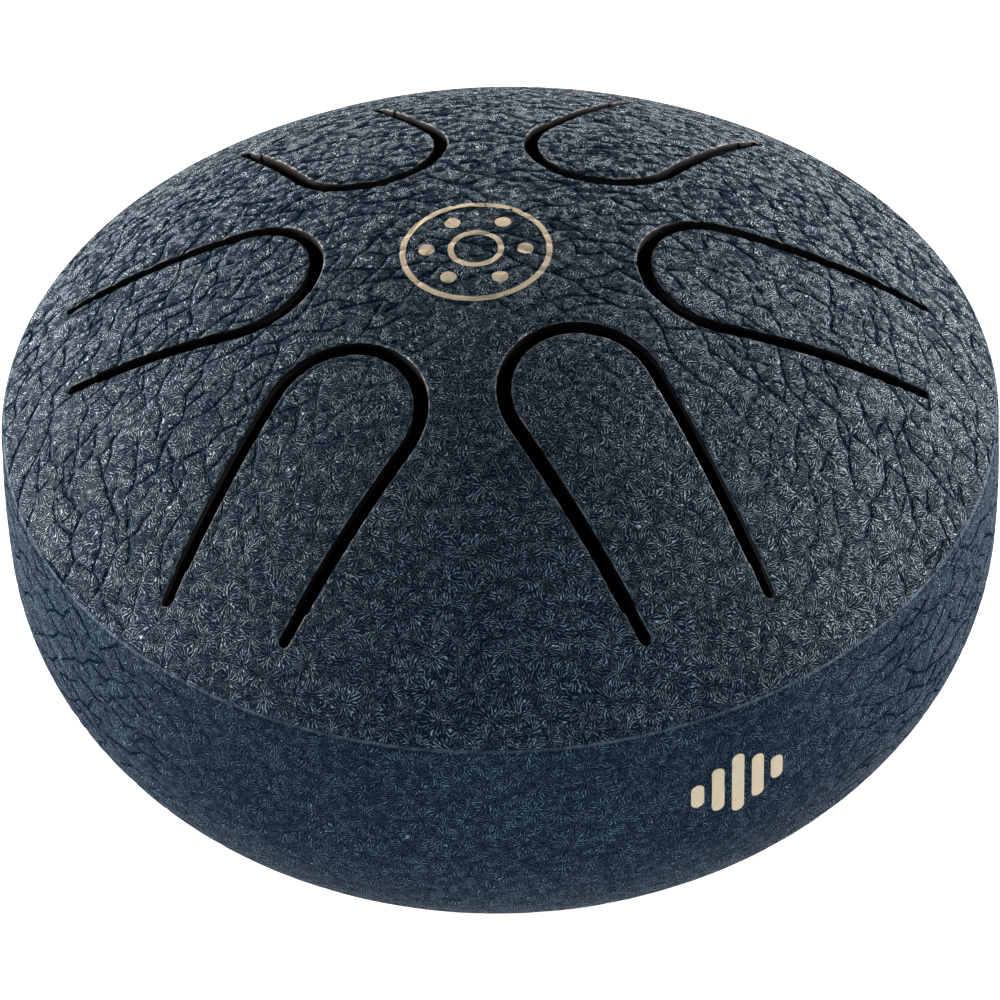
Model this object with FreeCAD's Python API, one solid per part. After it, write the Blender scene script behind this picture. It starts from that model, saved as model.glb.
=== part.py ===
import FreeCAD, Part
import math
import os

# Pocket steel tongue drum: a closed shell of two pressed steel halves, welded at the edge of a domed
# top that six U-shaped slots cut into six tongues. Millimetres, +Z up, origin in the middle of the
# plane that the drum's three rubber feet stand on. Angles are in degrees, counted from +X.

# Driving dimensions: shell
SHEET = 1.5                 # thickness of the pressed steel
SHELL_RADIUS = 70.0         # widest level of the bowl
SEAM_RADIUS = 67.6          # inner corner where the dome's and the bowl's square-cut edges meet
SEAM_RISE = 17.75           # from the widest level up to that corner
DOME_RISE = 24.75           # from that corner up to the inside of the dome's crown
BOWL_DEPTH = 32.0           # from the widest level down to the bowl's flat bottom
FLAT_RADIUS = 36.0          # the bowl's flat bottom
SOUND_HOLE_RADIUS = 16.0
WELD_RUNS = 12              # the seam is welded in equal short runs
STANDOFF = 5.0              # height of the feet, under the bowl

# Driving dimensions: slots and tongues
PATTERN_X = -2.5            # the slots and the emblem are centred a little to the left of the crown
PATTERN_Y = -0.1
TIP_HALF_WIDTH = 10.4       # half-width of the slot's centre line at a tongue's round tip
SLOT_WIDTH = 2.0
TUNING_WIDTH = 1.6          # each leg ends in a thinner cut, made when the tongue is tuned
TUNING_LENGTH = 3.5
ROOT_GAP = 0.03             # parts each tongue from the dome along the line that it flexes about
# direction, tip distance, half-width between the slot's two ends, and the distances of the right and
# left slot ends from the pattern's centre
TONGUES = [
    (-61.9, 18.3, 9.0, 59.3, 60.0),
    (-2.8, 22.6, 9.4, 60.4, 61.4),
    (55.7, 22.4, 10.1, 58.2, 55.3),
    (117.7, 21.9, 10.1, 49.2, 52.2),
    (176.7, 21.7, 9.3, 57.7, 55.1),
    (235.7, 21.7, 9.0, 60.1, 59.0),
]

# Driving dimensions: printed marks
PRINT_THICKNESS = 0.2
EMBLEM_RINGS = [9.9, 3.4]   # radii of the centre lines of its two rings
EMBLEM_LINE = 0.8
EMBLEM_DOT_CIRCLE = 6.65    # between the rings, a dot faces each tongue
EMBLEM_DOT_RADIUS = 1.1
BADGE_ANGLE = -65.3
BADGE_HEIGHT = 42.8
BADGE_BARS = [4.0, 7.6, 10.4, 7.6, 4.0]
BAR_WIDTH = 1.8
BAR_PITCH = 2.9

# Driving dimensions: feet and their fixings
FOOT_ANGLES = [-90.0, 30.0, 150.0]
FOOT_CIRCLE = 27.0
FOOT_RADIUS_TOP = 7.5
FOOT_RADIUS_BOTTOM = 6.7
FOOT_ROUND = 0.9
RECESS_RADIUS = 3.9
RECESS_DEPTH = 3.0
SCREW_RADIUS = 1.5
CLEARANCE_RADIUS = 1.6
HEAD_RADIUS = 2.8
HEAD_HEIGHT = 1.8
HEAD_ROUND = 0.7
CROSS_WIDTH = 0.7
CROSS_SPAN = 3.2
CROSS_DEPTH = 1.0
SCREW_TAIL = 0.5            # the screw's end, past its nut
WASHER_RADIUS = 3.7
WASHER_THICKNESS = 0.5
NUT_ACROSS_FLATS = 5.5
NUT_HEIGHT = 2.4
NUT_CHAMFER = 0.35

# Levels and radii that follow
BOTTOM_Z = STANDOFF
WIDEST_Z = BOTTOM_Z + BOWL_DEPTH
SEAM_Z = WIDEST_Z + SEAM_RISE
DOME_RADIUS_IN = (SEAM_RADIUS ** 2 + DOME_RISE ** 2) / (2 * DOME_RISE)
DOME_RADIUS = DOME_RADIUS_IN + SHEET
CROWN_Z = SEAM_Z + DOME_RISE + SHEET
DOME_CENTRE_Z = CROWN_Z - DOME_RADIUS
DOME_EDGE_ANGLE = math.degrees(math.asin(SEAM_RADIUS / DOME_RADIUS_IN))
WALL_LEAN_IN = SHELL_RADIUS - SHEET - SEAM_RADIUS
WALL_ARC_IN = (WALL_LEAN_IN ** 2 + SEAM_RISE ** 2) / (2 * WALL_LEAN_IN)
WALL_ARC = WALL_ARC_IN + SHEET
WALL_ARC_CENTRE = SHELL_RADIUS - WALL_ARC
WALL_EDGE_ANGLE = math.degrees(math.asin(SEAM_RISE / WALL_ARC_IN))
UP = FreeCAD.Vector(0, 0, 1)
ORIGIN = FreeCAD.Vector(0, 0, 0)


def at(radius, z):
    """A point of a section through the axis."""
    return FreeCAD.Vector(radius, 0, z)


def on_arc(centre_radius, centre_z, radius, angle):
    """A point of a section, on an arc, at an angle above the horizontal."""
    a = math.radians(angle)
    return at(centre_radius + radius * math.cos(a), centre_z + radius * math.sin(a))


def line(start, end):
    return Part.LineSegment(start, end).toShape()


def arc(start, middle, end):
    return Part.Arc(start, middle, end).toShape()


def turned(edges, seam_angle=0.0):
    """The solid that a closed section makes when it is turned about the axis."""
    face = Part.Face(Part.Wire(edges))
    solid = face.revolve(ORIGIN, UP, 360)
    solid.rotate(ORIGIN, UP, seam_angle)
    return solid


def raised(edges, low, high):
    """A flat outline in the XY plane as an upright prism from low to high."""
    face = Part.Face(Part.Wire(edges))
    face.translate(UP * low)
    return face.extrude(UP * (high - low))


def ring(outer, inner, low, high):
    tube = Part.makeCylinder(outer, high - low, UP * low)
    return tube.cut(Part.makeCylinder(inner, high - low, UP * low))


# The shell

def dome_point(radius, angle_from_crown):
    return on_arc(0, DOME_CENTRE_Z, radius, 90 - angle_from_crown)


def dome_sheet():
    """The pressed dome before its slots are cut, with a square-cut edge."""
    half = DOME_EDGE_ANGLE / 2
    outer = [dome_point(DOME_RADIUS, a) for a in (0, half, DOME_EDGE_ANGLE)]
    inner = [dome_point(DOME_RADIUS_IN, a) for a in (DOME_EDGE_ANGLE, half, 0)]
    edges = [arc(*outer), line(outer[2], inner[0]), arc(*inner), line(inner[2], outer[0])]
    between_tongues = (TONGUES[0][0] + TONGUES[1][0]) / 2
    return turned(edges, between_tongues)


def wall_arc(radius, start, end):
    """The bowl's wall above its widest level."""
    return arc(*[on_arc(WALL_ARC_CENTRE, WIDEST_Z, radius, a) for a in (start, (start + end) / 2, end)])


def wall_quarter(inset):
    """The bowl's wall below its widest level: a quarter of an ellipse."""
    centre = at(FLAT_RADIUS, WIDEST_Z)
    side = at(SHELL_RADIUS - inset, WIDEST_Z)
    bottom = at(FLAT_RADIUS, BOTTOM_Z + inset)
    ellipse = Part.Ellipse(side, bottom, centre)
    return Part.ArcOfEllipse(ellipse, 0, math.pi / 2).toShape()


def bottom_shell():
    """The pressed bowl, with its flat bottom, sound hole and three screw holes."""
    outer_edge = on_arc(WALL_ARC_CENTRE, WIDEST_Z, WALL_ARC, WALL_EDGE_ANGLE)
    inner_edge = at(SEAM_RADIUS, SEAM_Z)
    inside_z = BOTTOM_Z + SHEET
    edges = [
        wall_arc(WALL_ARC, WALL_EDGE_ANGLE, 0),
        wall_quarter(0),
        line(at(FLAT_RADIUS, BOTTOM_Z), at(SOUND_HOLE_RADIUS, BOTTOM_Z)),
        line(at(SOUND_HOLE_RADIUS, BOTTOM_Z), at(SOUND_HOLE_RADIUS, inside_z)),
        line(at(SOUND_HOLE_RADIUS, inside_z), at(FLAT_RADIUS, inside_z)),
        wall_quarter(SHEET),
        wall_arc(WALL_ARC_IN, 0, WALL_EDGE_ANGLE),
        line(inner_edge, outer_edge),
    ]
    bowl = turned(Part.__sortEdges__(edges))
    for angle in FOOT_ANGLES:
        hole = Part.makeCylinder(CLEARANCE_RADIUS, 2 * SHEET, at(FOOT_CIRCLE, BOTTOM_Z - SHEET / 2))
        hole.rotate(ORIGIN, UP, angle)
        bowl = bowl.cut(hole)
    return bowl


def rim_weld():
    """The weld that fills the open V between the two edges, dressed to a round."""
    root = at(SEAM_RADIUS, SEAM_Z)
    # seen from the root, the dome's edge lies along the dome's normal and the bowl's along the wall's
    directions = [WALL_EDGE_ANGLE, (WALL_EDGE_ANGLE + 90 - DOME_EDGE_ANGLE) / 2, 90 - DOME_EDGE_ANGLE]
    rim = [on_arc(SEAM_RADIUS, SEAM_Z, SHEET, a) for a in directions]
    section = Part.Face(Part.Wire([line(root, rim[0]), arc(*rim), line(rim[2], root)]))
    runs = []
    for k in range(WELD_RUNS):
        run = section.revolve(ORIGIN, UP, 360 / WELD_RUNS)
        run.rotate(ORIGIN, UP, k * 360 / WELD_RUNS)
        runs.append(run)
    return runs[0].fuse(runs[1:])


# The tongues, drawn flat with u outward from the pattern's centre and v to the left of that

def flat(u, v):
    return FreeCAD.Vector(u, v, 0)


def crossing(start, end, low, high):
    """Where the line from start to end crosses the line from low to high."""
    along = end - start
    across = high - low
    turn = along.x * across.y - along.y * across.x
    gap = low - start
    share = (gap.x * across.y - gap.y * across.x) / turn
    return start + along * share


def leg(tip, root_half, end, side):
    """One straight leg of a slot: unit normal, pointing away from the tongue, and its end point."""
    centre = tip + TIP_HALF_WIDTH
    reach = math.hypot(end - centre, root_half)
    bearing = math.atan2(root_half, end - centre)
    normal_angle = bearing + math.acos(TIP_HALF_WIDTH / reach)
    normal = flat(math.cos(normal_angle), side * math.sin(normal_angle))
    return normal, flat(end, side * root_half)


def leg_line(centre, normal, end, side_step, tuning_step):
    """Corners of one side of a leg, from the tip's arc to the slot's end, with its tuning cut."""
    tangent = centre + normal * TIP_HALF_WIDTH
    along = (end - tangent).normalize()
    shoulder = end - along * TUNING_LENGTH
    return [
        tangent + normal * side_step,
        shoulder + normal * side_step,
        shoulder + normal * tuning_step,
        end + normal * tuning_step,
    ]


def outline(tip, root_half, right_end, left_end, sign, root_shift):
    """The slot's outer (sign 1) or inner (sign -1) edge, closed along the tongue's root."""
    centre = flat(tip + TIP_HALF_WIDTH, 0)
    normals_ends = [leg(tip, root_half, right_end, -1), leg(tip, root_half, left_end, 1)]
    wide = sign * SLOT_WIDTH / 2
    thin = sign * TUNING_WIDTH / 2
    right, left = [leg_line(centre, n, e, wide, thin) for n, e in normals_ends]
    # the root line joins the outer corners of the two slot ends
    root = [e + n * (TUNING_WIDTH / 2) for n, e in normals_ends]
    inward = UP.cross(root[1] - root[0]).normalize() * root_shift
    low, high = [p + inward for p in root]
    right[3] = crossing(right[2], right[3], low, high)
    left[3] = crossing(left[2], left[3], low, high)
    far_tip = centre - flat(TIP_HALF_WIDTH + wide, 0)
    edges = [arc(right[0], far_tip, left[0])]
    edges += [line(a, b) for a, b in zip(left, left[1:])]
    edges.append(line(left[3], right[3]))
    edges += [line(b, a) for a, b in reversed(list(zip(right, right[1:])))]
    return edges, normals_ends


def placed(shape, direction):
    """Turns a flat drawing's prism to its tongue's direction, about the pattern's centre."""
    shape.rotate(ORIGIN, UP, direction)
    shape.translate(FreeCAD.Vector(PATTERN_X, PATTERN_Y, 0))
    return shape


def opening_prism(direction, tip, root_half, right_end, left_end):
    """What is cut from the dome for one tongue: tongue, slot, and the slot's two round ends."""
    edges, normals_ends = outline(tip, root_half, right_end, left_end, 1, 0)
    prism = raised(edges, SEAM_Z, CROWN_Z + SHEET)
    for _, end in normals_ends:
        prism = prism.fuse(Part.makeCylinder(TUNING_WIDTH / 2, prism.BoundBox.ZLength, end + UP * SEAM_Z))
    return placed(prism, direction)


def tongue_prism(direction, tip, root_half, right_end, left_end):
    edges, _ = outline(tip, root_half, right_end, left_end, -1, ROOT_GAP)
    return placed(raised(edges, SEAM_Z, CROWN_Z + SHEET), direction)


def root_line(direction, tip, root_half, right_end, left_end):
    """The two ends of the line a tongue flexes about, halfway through the sheet."""
    _, normals_ends = outline(tip, root_half, right_end, left_end, 1, 0)
    middle_radius = DOME_RADIUS - SHEET / 2
    ends = []
    for normal, end in normals_ends:
        point = placed(Part.Vertex(end + normal * (TUNING_WIDTH / 2)), direction).Point
        height = math.sqrt(middle_radius ** 2 - point.x ** 2 - point.y ** 2)
        ends.append(FreeCAD.Vector(point.x, point.y, DOME_CENTRE_Z + height))
    return ends


# The printed marks

def centre_emblem():
    """Two plain rings on the crown, with a dot between them for each tongue."""
    low = CROWN_Z - 2 * SHEET
    height = 3 * SHEET
    middle = FreeCAD.Vector(PATTERN_X, PATTERN_Y, 0)
    drawings = []
    for radius in EMBLEM_RINGS:
        drawings.append(ring(radius + EMBLEM_LINE / 2, radius - EMBLEM_LINE / 2, low, low + height))
    for direction, *_ in TONGUES:
        bearing = math.radians(direction)
        dot = flat(EMBLEM_DOT_CIRCLE * math.cos(bearing), EMBLEM_DOT_CIRCLE * math.sin(bearing))
        drawings.append(Part.makeCylinder(EMBLEM_DOT_RADIUS, height, dot + UP * low))
    film = Part.makeSphere(DOME_RADIUS + PRINT_THICKNESS, UP * DOME_CENTRE_Z)
    film = film.cut(Part.makeSphere(DOME_RADIUS, UP * DOME_CENTRE_Z))
    marks = []
    for drawing in drawings:
        drawing.translate(middle)
        marks.append(drawing.common(film))
    return Part.makeCompound(marks)


def side_badge():
    """Five upright bars on the wall, like a sound-level sign."""
    edge = WALL_EDGE_ANGLE
    film_radius = WALL_ARC + PRINT_THICKNESS
    ends = [on_arc(WALL_ARC_CENTRE, WIDEST_Z, r, a) for r, a in ((WALL_ARC, edge), (film_radius, edge),
                                                                (film_radius, 0), (WALL_ARC, 0))]
    film = turned([line(ends[0], ends[1]), wall_arc(film_radius, edge, 0), line(ends[2], ends[3]),
                   wall_arc(WALL_ARC, 0, edge)], BADGE_ANGLE + 180)
    bars = []
    first = -BAR_PITCH * (len(BADGE_BARS) - 1) / 2
    inside = SHELL_RADIUS - 2 * SHEET
    for k, height in enumerate(BADGE_BARS):
        side = first + k * BAR_PITCH
        straight = height - BAR_WIDTH
        low = BADGE_HEIGHT - straight / 2
        bar = Part.makeBox(4 * SHEET, BAR_WIDTH, straight,
                           FreeCAD.Vector(inside, side - BAR_WIDTH / 2, low))
        for end in (low, low + straight):
            start = FreeCAD.Vector(inside, side, end)
            bar = bar.fuse(Part.makeCylinder(BAR_WIDTH / 2, 4 * SHEET, start, FreeCAD.Vector(1, 0, 0)))
        bar = bar.removeSplitter()
        bar.rotate(ORIGIN, UP, BADGE_ANGLE)
        bars.append(bar.common(film))
    return Part.makeCompound(bars)


# Feet and fixings, made on the axis and then moved out to their places

def at_foot(shape, angle):
    shape.translate(FreeCAD.Vector(FOOT_CIRCLE, 0, 0))
    shape.rotate(ORIGIN, UP, angle)
    return shape


def circle_edges(shape, z, radius):
    """The round edges of a shape at a level, of one radius."""
    found = []
    for edge in shape.Edges:
        box = edge.BoundBox
        level = abs(box.ZMin - z) < 1e-4 and abs(box.ZMax - z) < 1e-4
        if level and abs(box.XLength - 2 * radius) < 1e-3:
            found.append(edge)
    return found


def foot():
    """A tapered rubber foot with a recess that keeps its screw's head off the table."""
    body = Part.makeCone(FOOT_RADIUS_BOTTOM, FOOT_RADIUS_TOP, STANDOFF)
    body = body.makeFillet(FOOT_ROUND, circle_edges(body, 0, FOOT_RADIUS_BOTTOM))
    body = body.cut(Part.makeCylinder(RECESS_RADIUS, RECESS_DEPTH))
    body = body.cut(Part.makeCylinder(CLEARANCE_RADIUS, STANDOFF))
    return body.makeFillet(FOOT_ROUND / 3, circle_edges(body, 0, RECESS_RADIUS))


def foot_washer():
    """The flat washer in the roof of a foot's recess."""
    return ring(WASHER_RADIUS, CLEARANCE_RADIUS, RECESS_DEPTH - WASHER_THICKNESS, RECESS_DEPTH)


def foot_screw():
    """A pan-head screw with a cross recess, up through the foot and the bowl into its nut."""
    head_top = RECESS_DEPTH - WASHER_THICKNESS
    head_bottom = head_top - HEAD_HEIGHT
    head = Part.makeCylinder(HEAD_RADIUS, HEAD_HEIGHT, UP * head_bottom)
    head = head.makeFillet(HEAD_ROUND, circle_edges(head, head_bottom, HEAD_RADIUS))
    for size_x, size_y in ((CROSS_SPAN, CROSS_WIDTH), (CROSS_WIDTH, CROSS_SPAN)):
        corner = FreeCAD.Vector(-size_x / 2, -size_y / 2, head_bottom)
        head = head.cut(Part.makeBox(size_x, size_y, CROSS_DEPTH, corner))
    length = STANDOFF + SHEET + NUT_HEIGHT + SCREW_TAIL - head_top
    shank = Part.makeCylinder(SCREW_RADIUS, length, UP * head_top)
    return head.fuse(shank)


def weld_nut():
    """A hexagonal nut, welded to the inside of the bowl's flat bottom."""
    base = BOTTOM_Z + SHEET
    corner_radius = NUT_ACROSS_FLATS / math.sqrt(3)
    corners = [FreeCAD.Vector(corner_radius, 0, base)]
    corners = [FreeCAD.Placement(ORIGIN, UP, 60 * k).multVec(corners[0]) for k in range(7)]
    hexagon = Part.Face(Part.makePolygon(corners)).extrude(UP * NUT_HEIGHT)
    chamfer = Part.makeCone(corner_radius + NUT_HEIGHT - NUT_CHAMFER, corner_radius - NUT_CHAMFER,
                            NUT_HEIGHT, UP * base)
    return hexagon.common(chamfer).cut(Part.makeCylinder(SCREW_RADIUS, NUT_HEIGHT, UP * base))


def build():
    """Every node's name and shape."""
    sheet = dome_sheet()
    nodes = {}
    top = sheet
    for number, tongue in enumerate(TONGUES, 1):
        nodes[f"tongue_{number}"] = sheet.common(tongue_prism(*tongue))
        top = top.cut(opening_prism(*tongue))
    nodes["top_shell"] = top
    nodes["bottom_shell"] = bottom_shell()
    nodes["rim_weld"] = rim_weld()
    nodes["centre_emblem"] = centre_emblem()
    nodes["side_badge"] = side_badge()
    for number, angle in enumerate(FOOT_ANGLES, 1):
        nodes[f"foot_{number}"] = at_foot(foot(), angle)
        nodes[f"foot_washer_{number}"] = at_foot(foot_washer(), angle)
        nodes[f"foot_screw_{number}"] = at_foot(foot_screw(), angle)
        nodes[f"weld_nut_{number}"] = at_foot(weld_nut(), angle)
    return nodes


def export():
    os.makedirs("parts", exist_ok=True)
    for name, shape in build().items():
        shape.exportStep(f"parts/{name}.step")
        print(name, "valid" if shape.isValid() else "INVALID", len(shape.Solids), "solid(s)",
              round(shape.Volume, 1), "mm3")
    for number, tongue in enumerate(TONGUES, 1):
        right, left = root_line(*tongue)
        print(f"tongue_{number} flexes about", (right + left) / 2, "along", (left - right).normalize())


if __name__ == "__main__":
    export()
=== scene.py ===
import math

import bpy
import numpy as np
from mathutils import Matrix, Vector, noise
from mathutils.geometry import delaunay_2d_cdt
from mathutils.kdtree import KDTree


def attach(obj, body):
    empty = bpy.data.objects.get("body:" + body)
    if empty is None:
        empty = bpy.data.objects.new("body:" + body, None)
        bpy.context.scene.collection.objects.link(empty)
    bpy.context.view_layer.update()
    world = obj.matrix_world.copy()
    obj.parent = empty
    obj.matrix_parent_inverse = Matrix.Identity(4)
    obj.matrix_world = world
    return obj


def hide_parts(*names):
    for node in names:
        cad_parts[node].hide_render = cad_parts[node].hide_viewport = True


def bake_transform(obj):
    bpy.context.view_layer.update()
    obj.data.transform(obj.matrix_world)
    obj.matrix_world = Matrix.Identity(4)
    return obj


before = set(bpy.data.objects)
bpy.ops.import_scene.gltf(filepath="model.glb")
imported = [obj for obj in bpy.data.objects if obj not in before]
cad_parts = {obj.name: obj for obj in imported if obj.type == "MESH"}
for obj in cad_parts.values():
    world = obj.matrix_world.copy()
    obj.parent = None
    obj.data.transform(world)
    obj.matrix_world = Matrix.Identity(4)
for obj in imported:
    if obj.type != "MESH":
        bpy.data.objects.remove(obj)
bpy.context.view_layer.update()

# The painted skin of a pocket steel tongue drum, its prints, and the studio around it. The skin's lengths
# are in millimetres until its mesh is made, and the studio's are in metres. +Z is up and -Y is the front.
MM = 0.001

# Shell
SHEET = 1.5
SHELL_RADIUS = 70.0
SEAM_RADIUS = 67.6
SEAM_Z = 54.75
WIDEST_Z = 37.0
BOTTOM_Z = 5.0
FLAT_RADIUS = 36.0
SOUND_HOLE_RADIUS = 16.0
DOME_RISE = 24.75
DOME_RADIUS_IN = (SEAM_RADIUS ** 2 + DOME_RISE ** 2) / (2 * DOME_RISE)
DOME_RADIUS = DOME_RADIUS_IN + SHEET
DOME_CENTRE_Z = SEAM_Z + DOME_RISE - DOME_RADIUS_IN
DOME_EDGE_ANGLE = math.asin(SEAM_RADIUS / DOME_RADIUS_IN)
DOME_EDGE_RADIUS = DOME_RADIUS * math.sin(DOME_EDGE_ANGLE)
WALL_LEAN = SHELL_RADIUS - SHEET - SEAM_RADIUS
WALL_ARC_IN = (WALL_LEAN ** 2 + (SEAM_Z - WIDEST_Z) ** 2) / (2 * WALL_LEAN)
WALL_ARC = WALL_ARC_IN + SHEET
WALL_ARC_CENTRE = SHELL_RADIUS - WALL_ARC
WALL_EDGE_ANGLE = math.asin((SEAM_Z - WIDEST_Z) / WALL_ARC_IN)

# Slots and tongues
PATTERN_CENTRE = np.array([-2.5, -0.1])
TIP_HALF_WIDTH = 10.4
SLOT_HALF_WIDTH = 1.0
TUNING_HALF_WIDTH = 0.8
TUNING_LENGTH = 3.5
# direction, tip distance, half-width between the slot's two ends, and the distances of the right and
# left slot ends from the pattern's centre
TONGUES = [
    (-61.9, 18.3, 9.0, 59.3, 60.0),
    (-2.8, 22.6, 9.4, 60.4, 61.4),
    (55.7, 22.4, 10.1, 58.2, 55.3),
    (117.7, 21.9, 10.1, 49.2, 52.2),
    (176.7, 21.7, 9.3, 57.7, 55.1),
    (235.7, 21.7, 9.0, 60.1, 59.0),
]
BEND_LENGTH = 8.0

# Prints
EMBLEM_RINGS = [9.9, 3.4]
EMBLEM_LINE = 0.8
EMBLEM_DOT_CIRCLE = 6.65
EMBLEM_DOT_RADIUS = 1.1
BADGE_ANGLE = -65.3
BADGE_HEIGHT = 42.8
BADGE_BARS = [4.0, 7.6, 10.4, 7.6, 4.0]
BAR_WIDTH = 1.8
BAR_PITCH = 2.9
PRINT_LIFT = 0.05
PRINT_FILM = 0.08
PRINT_GRID = 0.4

# Feet
FOOT_ANGLES = [-90.0, 30.0, 150.0]
FOOT_CIRCLE = 27.0
SCREW_HOLE_RADIUS = 1.6

# Meshes
AROUND = 720
GRID = 0.42
COARSE_GRID = 3.0
EDGE_STEP = 0.4
CAP_STEP = 0.15
BOWL_STEP = 0.62
BOWL_STEP_IN = 4.0
FLAT_GRID = 1.2
# how far the free points of the dome's plan stay off its rim, the slots and the tongues' root lines, and
# the rows that go around each slot inside that margin
RIM_MARGIN = 0.35
SLOT_MARGIN = 0.33
ROOT_MARGIN = 0.13
SLOT_ROWS = [0.09, 0.2]
# the paint rounds off the slots' edges; a light colour along them stands for wear where they are sharpest
# and for a painted highlight on the rounding, and along the weld for a painted highlight on its round
EDGE_ROUND = 0.3
EDGE_WEAR_AND_HIGHLIGHT = 0.22
EDGE_DROP = 0.25
WELD_HIGHLIGHT_ROWS = [0.0, 0.5, 0.3, 0.0, 0.0, 0.0, 0.0]
# the relief fades out towards the seam and the flat bottom
SEAM_FADE = 0.8
FLAT_FADE = 3.0

# Wrinkles of the paint
STAR_SPACING = 3.1
STAR_SHAKE = 0.33
CREASE_CHOICES = 7
CREASE_WIDTH = 0.55
CREASE_DEPTH = 0.18
PINCH_RADIUS = 0.9
FRONT_CALM = 0.85
DOME_CREASE_CENTRE = -50.0
PLATE_DEPTH = 0.05
RIDGES_AROUND = 6
RIDGE_SWAY = 15.0
RIDGE_LOW, RIDGE_HIGH = 0.3, 0.9
SEED = 7
random = np.random.default_rng(SEED)
# without a seed of its own, this noise starts from the clock
noise.seed_set(SEED)

# Colours
# the navy paint is drawn as a shaded copy and a lit copy: painted shade for the grooves between the ridges
# and painted highlight for the ridges' crests, on the dome and on the wall
DEEP_NAVY_GROOVE_SHADE = (0.0010, 0.0125, 0.031, 1)
NAVY_CREST_HIGHLIGHT = (0.640, 0.810, 0.940, 1)
BARE_EDGE_AND_HIGHLIGHT = (0.50, 0.51, 0.50, 1)
WALL_GROOVE_SHADE = (0.002, 0.012, 0.030, 1)
WALL_CREST_HIGHLIGHT = (0.175, 0.285, 0.400, 1)
WELD_HIGHLIGHT = (0.32, 0.47, 0.57, 1)
CREAM = (0.71, 0.585, 0.415, 1)
CREAM_LIGHT = (0.80, 0.685, 0.505, 1)
CREAM_CREASE_SHADE = (0.42, 0.33, 0.23, 1)
PAINT_SPECULAR = 0.02

# Studio, in metres
FLOOR_HALF = 4.0
FLOOR_Z = -5e-5
WARM = (1.0, 0.87, 0.79)
WHITE = (1.0, 1.0, 1.0)
COOL = (0.76, 0.93, 1.0)


# Points of the shell's sections

def dome_height(radius, plan):
    """Height of a sphere of that radius about the dome's centre, over points in plan."""
    return DOME_CENTRE_Z + np.sqrt(radius ** 2 - (plan ** 2).sum(1))


def wall_section(radius, angle):
    return np.array([WALL_ARC_CENTRE + radius * math.cos(angle), WIDEST_Z + radius * math.sin(angle)])


def bowl_section(inset, step):
    """Radius and height down the bowl, from its top edge to the edge of its flat bottom."""
    arc = WALL_ARC - inset
    count = max(2, round(arc * WALL_EDGE_ANGLE / step))
    points = [wall_section(arc, a) for a in np.linspace(WALL_EDGE_ANGLE, 0, count, endpoint=False)]
    side = SHELL_RADIUS - inset - FLAT_RADIUS
    depth = WIDEST_Z - BOTTOM_Z - inset
    count = max(4, round(0.79 * (side + depth) / step))
    for a in np.linspace(0, math.pi / 2, count + 1):
        points.append(np.array([FLAT_RADIUS + side * math.cos(a), WIDEST_Z - depth * math.sin(a)]))
    return np.array(points)


def turned(section):
    """The points of a section, turned about the axis: one row of points for each point of it."""
    angles = np.arange(AROUND) * 2 * math.pi / AROUND
    radius = section[:, :1]
    rows = np.stack([radius * np.cos(angles), radius * np.sin(angles),
                     np.repeat(section[:, 1:], AROUND, 1)], 2)
    return rows.reshape(-1, 3)


def circle(radius, count, centre=(0.0, 0.0)):
    angles = np.arange(count) * 2 * math.pi / count
    return np.array(centre) + radius * np.stack([np.cos(angles), np.sin(angles)], 1)


# Outlines of the slots, with u outward from the pattern's centre and v to the left of that

def leg(tip, root_half, end, side):
    """One straight leg of a slot: unit normal away from the tongue, start, and end point."""
    centre = tip + TIP_HALF_WIDTH
    reach = math.hypot(end - centre, root_half)
    angle = math.atan2(root_half, end - centre) + math.acos(TIP_HALF_WIDTH / reach)
    normal = np.array([math.cos(angle), side * math.sin(angle)])
    start = np.array([centre, 0.0]) + normal * TIP_HALF_WIDTH
    return normal, start, np.array([end, side * root_half])


def leg_side(normal, start, end, side, grow):
    """Corners of one side of a leg, from its start to the slot's end."""
    along = (end - start) / np.linalg.norm(end - start)
    wide = side * normal * (SLOT_HALF_WIDTH + grow)
    thin = side * normal * (TUNING_HALF_WIDTH + grow)
    shoulder = end - along * (TUNING_LENGTH - grow)
    return [start + wide, shoulder + wide, shoulder + thin, end + thin]


def sweep(centre, start, end, counterclockwise, step=EDGE_STEP):
    """Points of an arc between two points, without those two."""
    centre, start, end = np.array(centre), np.array(start), np.array(end)
    radius = np.linalg.norm(start - centre)
    first = math.atan2(*(start - centre)[::-1])
    last = math.atan2(*(end - centre)[::-1])
    turn = (last - first) % (2 * math.pi)
    if not counterclockwise:
        turn -= 2 * math.pi
    count = max(6, round(abs(turn) * radius / step))
    angles = first + turn * np.arange(1, count) / count
    return [centre + radius * np.array([math.cos(a), math.sin(a)]) for a in angles]


def densified(points, step=EDGE_STEP):
    """A polyline with no segment longer than the step."""
    result = [points[0]]
    for a, b in zip(points, points[1:]):
        count = max(1, math.ceil(np.linalg.norm(b - a) / step))
        result += [a + (b - a) * (k + 1) / count for k in range(count)]
    return result


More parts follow.
